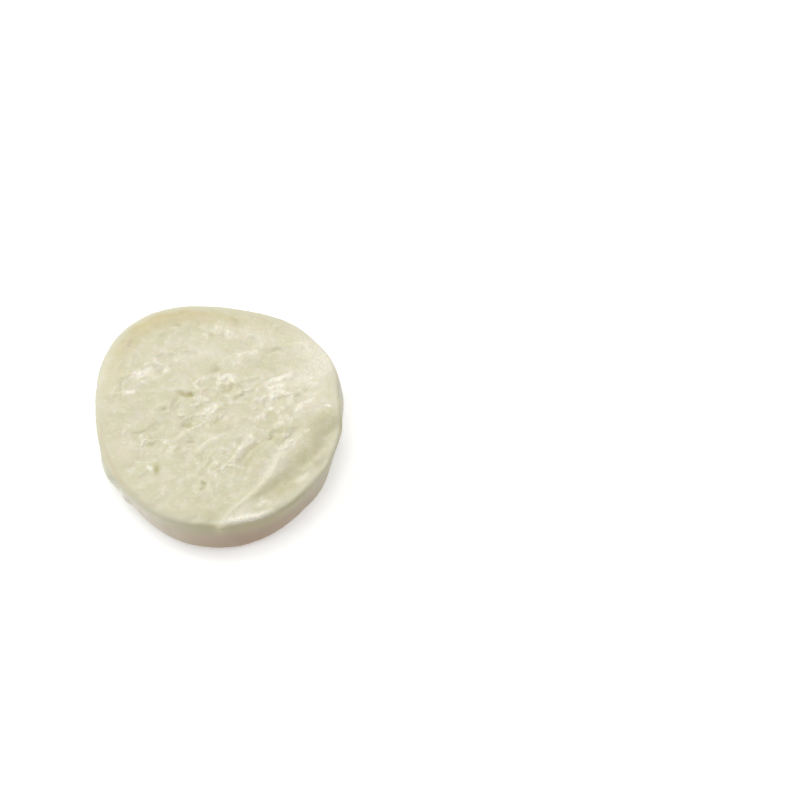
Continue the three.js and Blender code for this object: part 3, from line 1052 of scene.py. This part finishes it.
@dataclass(frozen=True)
class LowerFace:
    """The relief of the lower cut face, which only rises from what it lies on."""

    tears: Tears = Tears(bearing=-30, spacing=4.6, height=0.3, wander=6.5, layer=80.0)
    waves: Ripple = Ripple(layer=83.0, length=6.0, width=5.0, height=0.2)
    smooth_rim: float = 3.5

    def lift(self, x: float, y: float, inset: float) -> float:
        """How far the lower face stands clear of the ground at (x, y), inset from its rim.

        Args:
            x: the place's first coordinate.
            y: the place's second coordinate.
            inset: how far the place is inside the rim.

        Returns:
            Its height, never less than 0.
        """
        step, _ = self.tears.lift(x, y)
        rise = max(step + self.waves.at(x, y), 0.0)
        return rise * smoothstep(inset, 0.0, self.smooth_rim)


# ---- Finishes ----


class Stain(Enum):
    """What the slice's mesh says about its curd from point to point, as attributes from 0 to 1,
    with painted highlights, painted light and painted shade among them.
    """

    # white curd, with painted highlights on crests, crumbs and the fold's lip, and painted light
    # low on the near-left side
    WHITE = "white_and_highlight"
    # whey, with painted shade in hollows and on the fold's slope
    WET_AND_SHADE = "wet_and_shade"
    RIM = "rim"
    YELLOW = "yellow"
    # painted shade, warm and pinkish, low on the near side and on the near-left rim
    PAINTED_SHADE = "painted_shade"


class Signal:
    """A number that a shader node gives. Arithmetic on it adds Math nodes."""

    def __init__(self, bench: "Bench", socket: bpy.types.NodeSocket) -> None:
        """Wraps an output socket of a node on a bench."""
        self.bench = bench
        self.socket = socket

    def __add__(self, other: Value) -> "Signal":
        """This number plus another."""
        return self.bench.maths("ADD", self, other)

    def __sub__(self, other: Value) -> "Signal":
        """This number less another."""
        return self.bench.maths("SUBTRACT", self, other)

    def __rsub__(self, other: Value) -> "Signal":
        """Another number less this one."""
        return self.bench.maths("SUBTRACT", other, self)

    def __mul__(self, other: Value) -> "Signal":
        """This number times another."""
        return self.bench.maths("MULTIPLY", self, other)

    __radd__ = __add__
    __rmul__ = __mul__


class Bench:
    """Where a material's nodes are made and joined."""

    def __init__(self, name: str) -> None:
        """Starts a new material with only its output and its main shader.

        Args:
            name: the material's name.
        """
        self.material = bpy.data.materials.new(name)
        self.material.use_nodes = True
        self.tree = self.material.node_tree
        self.shader = self.tree.nodes["Principled BSDF"]
        self.place = self.node("ShaderNodeTexCoord", {}, {}).outputs["Object"]

    def node(
        self, kind: str, settings: dict[str, Any], values: dict[str | int, Value]
    ) -> bpy.types.Node:
        """Makes a node.

        Args:
            kind: the node's type.
            settings: its own settings, made before its sockets are filled.
            values: what goes into each socket, by its name or number.

        Returns:
            The new node.
        """
        made = self.tree.nodes.new(kind)
        for name, setting in settings.items():
            setattr(made, name, setting)
        self.fill(made, values)
        return made

    def fill(self, node: bpy.types.Node, values: dict[str | int, Value]) -> None:
        """Sets or links a node's sockets.

        Args:
            node: the node.
            values: what goes into each socket, by its name or number.
        """
        for name, value in values.items():
            socket = node.inputs[name]
            if isinstance(value, Signal):
                value = value.socket
            if isinstance(value, bpy.types.NodeSocket):
                self.tree.links.new(value, socket)
            elif isinstance(value, tuple) and socket.type == "RGBA":
                socket.default_value = (*value, 1.0)
            else:
                socket.default_value = value

    def maths(self, operation: str, one: Value, other: Value) -> Signal:
        """A Math node on two numbers."""
        made = self.node("ShaderNodeMath", {"operation": operation}, {0: one, 1: other})
        return Signal(self, made.outputs[0])

    def step(self, value: Value, low: float, high: float) -> Signal:
        """A soft step from 0 at low to 1 at high."""
        made = self.node(
            "ShaderNodeMapRange",
            {"interpolation_type": "SMOOTHSTEP"},
            {"Value": value, "From Min": low, "From Max": high},
        )
        return Signal(self, made.outputs["Result"])

    def blend(self, share: Value, under: Value, over: Value) -> bpy.types.NodeSocket:
        """A share of one colour laid over another."""
        made = self.node("ShaderNodeMix", {"data_type": "RGBA"}, {0: share, 6: under, 7: over})
        return made.outputs[2]

    def grain(self, size: float, detail: float = 3.0) -> Signal:
        """Noise from 0 to 1 with a grain of so many millimetres."""
        values = {"Vector": self.place, "Scale": 1.0 / (size * MM), "Detail": detail}
        return Signal(self, self.node("ShaderNodeTexNoise", {}, values).outputs["Fac"])

    def stained(self, stain: Stain) -> Signal:
        """How much of a stain the mesh has."""
        made = self.node("ShaderNodeAttribute", {"attribute_name": stain.value}, {})
        return Signal(self, made.outputs["Fac"])


@dataclass(frozen=True)
class Mottle:
    """Soft blotches of another tone of curd."""

    colour: Colour
    share: float  # of the colour in the middle of a blotch
    size: float
    low: float  # the noise where a blotch begins
    high: float  # and where it is full


@dataclass(frozen=True)
class CurdFinish:
    """Moist fresh curd: cream, soft-lit from within, paler on its crumbs, yellow with whey in its
    pits, with painted highlights on its crests, painted light low on its near-left side, and
    painted shade in its hollows and low on its near side.
    """

    curd: Colour = (0.643, 0.615, 0.444)
    mottles: tuple[Mottle, ...] = (
        Mottle((0.620, 0.620, 0.425), share=0.50, size=9.0, low=0.42, high=0.62),
        Mottle((0.715, 0.655, 0.530), share=0.55, size=5.5, low=0.45, high=0.66),
        Mottle((0.590, 0.560, 0.385), share=0.45, size=3.6, low=0.50, high=0.66),
        Mottle((0.740, 0.700, 0.580), share=0.50, size=2.2, low=0.50, high=0.66),
        Mottle((0.930, 0.895, 0.790), share=0.30, size=0.7, low=0.57, high=0.70),
    )
    skin: Colour = (0.664, 0.658, 0.522)
    skin_share: float = 0.7
    # painted shade, warm and pinkish
    painted_shade: Colour = (0.560, 0.382, 0.262)
    painted_shade_share: float = 0.75
    under_skin: Colour = (0.600, 0.525, 0.290)
    under_skin_share: float = 0.75
    # the white of crumbs, also laid on as painted highlights and painted light
    crumb_and_highlight: Colour = (0.930, 0.895, 0.790)
    crumb_and_highlight_share: float = 0.6
    speck_share: float = 0.45  # added on the specks of a crumb
    speck_size: float = 0.6
    specks: Pair = (0.40, 0.62)  # the noise where a speck begins and is full
    # whey's yellow, also laid on as painted shade in hollows and on slopes
    whey_and_shade: Colour = (0.430, 0.390, 0.170)
    whey_and_shade_share: float = 0.8
    roughness: float = 0.55
    sheen_size: float = 4.0  # of the patches that are drier or wetter
    sheen_change: float = 0.3
    skin_gloss: float = 0.06
    grains: tuple[tuple[float, float, float], ...] = (  # size, detail and share of the fine relief
        (0.9, 3.0, 0.6),
        (0.35, 2.0, 0.4),
    )
    speck_relief: float = 0.9
    relief_strength: float = 0.35
    relief_height: float = 0.12
    glow: float = 0.45  # weight of the light that passes through the curd
    glow_reach: float = 1.6
    glow_colour: Colour = (1.0, 0.72, 0.42)
    film: float = 0.06  # weight of the moist film on top
    film_roughness: float = 0.35
    refraction: float = 1.40  # index of the film and the curd

    def colour(
        self, bench: Bench, stains: dict[Stain, Signal], specks: Signal
    ) -> bpy.types.NodeSocket:
        """Lays the curd's tones, its painted highlights and its painted shade over one another.

        Args:
            bench: where the material is made.
            stains: how much of each stain there is.
            specks: where the crumbs are whitest.

        Returns:
            The finished colour.
        """
        white_and_highlight, wet_and_shade, rim, yellow, painted_shade = (stains[stain] for stain in Stain)
        inside, colour = 1.0 - rim, self.curd
        for mottle in self.mottles:
            spots = bench.step(bench.grain(mottle.size), mottle.low, mottle.high)
            colour = bench.blend(spots * inside * mottle.share, colour, mottle.colour)
        for share, over in (
            (rim * self.skin_share, self.skin),
            (painted_shade * self.painted_shade_share, self.painted_shade),
            (yellow * self.under_skin_share, self.under_skin),
            (white_and_highlight * (specks * self.speck_share + self.crumb_and_highlight_share), self.crumb_and_highlight),
            (wet_and_shade * self.whey_and_shade_share, self.whey_and_shade),
        ):
            colour = bench.blend(share, colour, over)
        return colour

    def relief(self, bench: Bench, white_and_highlight: Signal, specks: Signal) -> bpy.types.NodeSocket:
        """Makes the finest grain of the curd, too small for the mesh.

        Args:
            bench: where the material is made.
            white_and_highlight: how white the curd is, with its painted highlights.
            specks: where the crumbs are whitest.

        Returns:
            The surface's direction, with that grain.
        """
        fine = specks * white_and_highlight * self.speck_relief
        for size, detail, share in self.grains:
            fine = fine + bench.grain(size, detail) * share
        values = {
            "Strength": self.relief_strength,
            "Distance": self.relief_height * MM,
            "Height": fine,
        }
        return bench.node("ShaderNodeBump", {}, values).outputs["Normal"]

    def material(self) -> bpy.types.Material:
        """Makes the finish.

        Returns:
            The material.
        """
        bench = Bench("curd")
        stains = {stain: bench.stained(stain) for stain in Stain}
        specks = bench.step(bench.grain(self.speck_size), *self.specks)
        sheen = (bench.grain(self.sheen_size) - 0.5) * self.sheen_change
        bench.fill(
            bench.shader,
            {
                "Base Color": self.colour(bench, stains, specks),
                "Roughness": self.roughness + sheen - stains[Stain.RIM] * self.skin_gloss,
                "Normal": self.relief(bench, stains[Stain.WHITE], specks),
                "Subsurface Weight": self.glow,
                "Subsurface Radius": self.glow_colour,
                "Subsurface Scale": self.glow_reach * MM,
                "IOR": self.refraction,
                "Coat Weight": self.film,
                "Coat Roughness": self.film_roughness,
            },
        )
        return bench.material


@dataclass(frozen=True)
class FloorFinish:
    """A plain pale light table."""

    colour: Colour = (0.72, 0.72, 0.72)
    roughness: float = 0.8
    shine: float = 0.42  # how brightly it is lit from below

    def material(self) -> bpy.types.Material:
        """Makes the finish.

        Returns:
            The material.
        """
        bench = Bench("pale_floor")
        bench.fill(
            bench.shader,
            {
                "Base Color": self.colour,
                "Roughness": self.roughness,
                "Emission Color": (1.0, 1.0, 1.0),
                "Emission Strength": self.shine,
            },
        )
        return bench.material


# ---- The slice ----


class Cut(Enum):
    """The slice's two cut faces."""

    UPPER = "upper"
    LOWER = "lower"


@dataclass
class CheeseSlice:
    """The slice as one closed mesh."""

    form: SliceForm = field(default_factory=SliceForm)
    upper: UpperFace = field(default_factory=UpperFace)
    lower: LowerFace = field(default_factory=LowerFace)
    skin: Skin = field(default_factory=Skin)
    finish: CurdFinish = field(default_factory=CurdFinish)
    upper_cells: int = 224  # across the upper face
    lower_cells: int = 112
    edge_steps: int = 6
    side_steps: int = 13
    skin_hold: int = 8  # how closely the skin's relief keeps to the side
    relief_foot: float = 0.35  # level at which the upper face's relief ends, down the side
    white_levels: Pair = (0.90, 0.98)  # between which white curd and painted highlights begin

    def build(self, node: str) -> bpy.types.Object:
        """Makes the slice in the place of a node of the frame.

        Args:
            node: the name of the node that the slice stands for.

        Returns:
            The finished object.
        """
        mesh_maker = bmesh.new()
        last_ring = self.draw_side(mesh_maker, self.lay_face(mesh_maker, Cut.UPPER))
        lower_rim = self.lay_face(mesh_maker, Cut.LOWER)
        bmesh.ops.bridge_loops(mesh_maker, edges=[*last_ring, *lower_rim])
        bmesh.ops.recalc_face_normals(mesh_maker, faces=mesh_maker.faces[:])
        self.shape(mesh_maker)
        self.settle(mesh_maker, node)
        for face in mesh_maker.faces:
            face.smooth = True

        mesh = bpy.data.meshes.new("mozzarella_slice")
        mesh_maker.to_mesh(mesh)
        mesh_maker.free()
        piece = bpy.data.objects.new("mozzarella_slice", mesh)
        bpy.context.scene.collection.objects.link(piece)
        mesh.materials.append(self.finish.material())
        return piece

    def lay_face(self, mesh_maker: bmesh.types.BMesh, cut: Cut) -> list[bmesh.types.BMEdge]:
        """Lays one cut face as a round sheet of small quads.

        Args:
            mesh_maker: the mesh to add to.
            cut: which of the two faces.

        Returns:
            The edges of its rim.
        """
        form = self.form
        if cut is Cut.UPPER:
            cells, radius, z = self.upper_cells, form.face_radius - form.upper_edge, form.thickness
        else:
            inset = form.lower_edge + 2.0 * form.face_radius / self.lower_cells
            cells, radius, z = self.lower_cells, form.face_radius - inset, 0.0
        sheet = bmesh.ops.create_grid(mesh_maker, x_segments=cells, y_segments=cells, size=1.0)
        for vert in sheet["verts"]:
            x, y, _ = vert.co  # on a square from -1 to 1, which these roots draw out round
            across, deep = x * math.sqrt(1 - y * y / 2), y * math.sqrt(1 - x * x / 2)
            vert.co = (radius * across, radius * deep, z)
        edges = {edge for vert in sheet["verts"] for edge in vert.link_edges}
        return [edge for edge in edges if edge.is_boundary]

    def draw_side(
        self, mesh_maker: bmesh.types.BMesh, rim: list[bmesh.types.BMEdge]
    ) -> list[bmesh.types.BMEdge]:
        """Draws the skin down from the upper face's rim, ring by ring.

        Args:
            mesh_maker: the mesh to add to.
            rim: the edges to start from.

        Returns:
            The edges of the last ring.
        """
        for radius, z in self.form.section(self.edge_steps, self.side_steps):
            drawn = bmesh.ops.extrude_edge_only(mesh_maker, edges=rim)["geom"]
            rim = [part for part in drawn if isinstance(part, bmesh.types.BMEdge)]
            for vert in (part for part in drawn if isinstance(part, bmesh.types.BMVert)):
                spot = Vector((vert.co.x, vert.co.y)).normalized() * radius
                vert.co = (spot.x, spot.y, z)
            rim = [edge for edge in rim if edge.is_boundary]
        return rim

    def shape(self, mesh_maker: bmesh.types.BMesh) -> None:
        """Moves each point of the straight-sided slice to its place in the real one.

        Args:
            mesh_maker: the mesh to shape.
        """
        layers = {stain: mesh_maker.verts.layers.float.new(stain.value) for stain in Stain}
        for vert in mesh_maker.verts:
            place, inset, white_and_highlight, wet_and_shade = self.moved(vert.co.copy())
            spot = (place, place.z / self.form.thickness, inset)
            vert.co = place
            # white curd with painted highlights, and painted light low on the skin's near-left side
            vert[layers[Stain.WHITE]] = max(white_and_highlight, self.skin.paling_and_painted_light(*spot))
            # whey, with painted shade in hollows and on the fold's slope
            vert[layers[Stain.WET_AND_SHADE]] = wet_and_shade
            vert[layers[Stain.RIM]] = fading(inset, 0.0, self.upper.smooth_rim)
            vert[layers[Stain.YELLOW]] = self.skin.yellow(*spot)
            # painted shade, low on the near side and on the near-left rim
            vert[layers[Stain.PAINTED_SHADE]] = self.skin.pink_painted_shade(*spot)

    def moved(self, point: Vector) -> tuple[Vector, float, float, float]:
        """Where a point of the straight-sided slice goes.

        Args:
            point: the point before the move.

        Returns:
            Its new place, how far inside the skin it is, how white the curd is with its painted
            highlights, and how wet it is with its painted shade.
        """
        form = self.form
        bearing = bearing_of(point.x, point.y)
        turn, outline = math.radians(bearing), form.outline(bearing)
        share = math.hypot(point.x, point.y) / form.face_radius
        out = form.skin_out(bearing, point.z) + self.skin.out(point)
        radius = share * outline + out * share**self.skin_hold
        x, y = radius * math.cos(turn), radius * math.sin(turn)

        inset = max(outline - radius, 0.0)
        level = point.z / form.thickness
        rise, white_and_highlight, wet_and_shade = 0.0, 0.0, 0.0
        if level > self.relief_foot:
            fade = smoothstep(level, self.relief_foot, 1.0)
            detail, white_and_highlight, wet_and_shade = (fade**2 * value for value in self.upper.detail(x, y, inset))
            white_and_highlight *= smoothstep(level, *self.white_levels)
            rise = self.upper.broad(x, y, inset) * fade + detail
        elif point.z <= 0.0:
            rise = self.lower.lift(x, y, inset)
        return Vector((x, y, point.z + rise)), inset, white_and_highlight, wet_and_shade

    def settle(self, mesh_maker: bmesh.types.BMesh, node: str) -> None:
        """Moves the slice to where its node is in the frame, and from millimetres to metres.

        Args:
            mesh_maker: the mesh to move.
            node: the name of the node that the slice stands for.
        """
        low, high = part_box(node)
        middle = (Vector(low) + Vector(high)) / 2
        bmesh.ops.scale(mesh_maker, vec=(MM, MM, MM), verts=mesh_maker.verts[:])
        shift = []
        for axis, target in ((0, middle.x), (1, middle.y)):
            spread = [vert.co[axis] for vert in mesh_maker.verts]
            shift.append(target - (min(spread) + max(spread)) / 2)
        ground = low[2] - min(vert.co.z for vert in mesh_maker.verts)
        bmesh.ops.translate(mesh_maker, vec=(*shift, ground), verts=mesh_maker.verts[:])


# ---- The studio ----


@dataclass(frozen=True)
class Lamp:
    """A soft round lamp, at a bearing and a height angle from the middle of the floor."""

    name: str
    bearing: float
    height: float
    distance: float
    size: float
    power: float
    colour: Colour

    def hang(self) -> None:
        """Hangs the lamp, pointing at the middle of the floor."""
        data = bpy.data.lights.new(self.name, "AREA")
        data.shape, data.size = "DISK", self.size * MM
        data.energy, data.color = self.power, self.colour
        lamp = bpy.data.objects.new(self.name, data)
        turn, rise = math.radians(self.bearing), math.radians(self.height)
        level = math.cos(rise)
        away = Vector((level * math.cos(turn), level * math.sin(turn), math.sin(rise)))
        lamp.location = away * self.distance * MM
        lamp.rotation_euler = away.to_track_quat("Z", "Y").to_euler()
        bpy.context.scene.collection.objects.link(lamp)


@dataclass(frozen=True)
class Studio:
    """A pale floor, soft light and a camera that looks down at the slice."""

    floor_size: float = 6000.0
    sky: Colour = (1.0, 0.985, 0.95)
    sky_strength: float = 0.07
    lamps: tuple[Lamp, ...] = (
        Lamp("key", 145, 46, 1000, size=450, power=3.2, colour=(1.0, 0.99, 0.975)),
        Lamp("window", 202, 20, 1000, size=450, power=1.95, colour=(0.91, 0.96, 1.0)),
        Lamp("fill", 25, 45, 1000, size=700, power=1.6, colour=(1.0, 0.985, 0.96)),
        Lamp("overhead", 95, 80, 1200, size=900, power=9.8, colour=(1.0, 0.99, 0.975)),
    )
    lens: float = 100.0
    sensor: float = 36.0
    camera_height: float = 62.0  # degrees above the floor
    camera_distance: float = 603.0
    aim: tuple[float, float] = (48.5, 10.6)  # the point on the floor in the middle of the view

    def light(self) -> None:
        """Lights the room."""
        world = bpy.data.worlds.new("room")
        world.use_nodes = True
        background = world.node_tree.nodes["Background"]
        background.inputs["Color"].default_value = (*self.sky, 1.0)
        background.inputs["Strength"].default_value = self.sky_strength
        bpy.context.scene.world = world
        for lamp in self.lamps:
            lamp.hang()

    def lay_floor(self) -> bpy.types.Object:
        """Lays the floor.

        Returns:
            Its object.
        """
        mesh_maker = bmesh.new()
        bmesh.ops.create_circle(
            mesh_maker, cap_ends=True, segments=96, radius=self.floor_size * MM / 2
        )
        mesh = bpy.data.meshes.new("floor")
        mesh_maker.to_mesh(mesh)
        mesh_maker.free()
        mesh.materials.append(FloorFinish().material())
        floor = bpy.data.objects.new("floor", mesh)
        bpy.context.scene.collection.objects.link(floor)
        return floor

    def set_camera(self) -> None:
        """Stands the camera in front of the slice and above it."""
        data = bpy.data.cameras.new("camera")
        data.lens, data.sensor_width = self.lens, self.sensor
        camera = bpy.data.objects.new("camera", data)
        rise = math.radians(self.camera_height)
        back = Vector((0.0, -math.cos(rise), math.sin(rise)))
        camera.location = (Vector((*self.aim, 0.0)) + back * self.camera_distance) * MM
        camera.rotation_euler = back.to_track_quat("Z", "Y").to_euler()
        bpy.context.scene.collection.objects.link(camera)
        bpy.context.scene.camera = camera
        bpy.context.scene.view_settings.view_transform = "Standard"


def main() -> None:
    """Builds the slice and the studio."""
    logging.basicConfig(level=logging.INFO, format="%(name)s: %(message)s")
    studio = Studio()
    studio.set_camera()
    studio.light()
    studio.lay_floor()

    piece = CheeseSlice().build("slice")
    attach(piece, "root")
    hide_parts("slice")
    log.info("%s: %d faces", piece.name, len(piece.data.polygons))


if __name__ == "__main__":
    main()
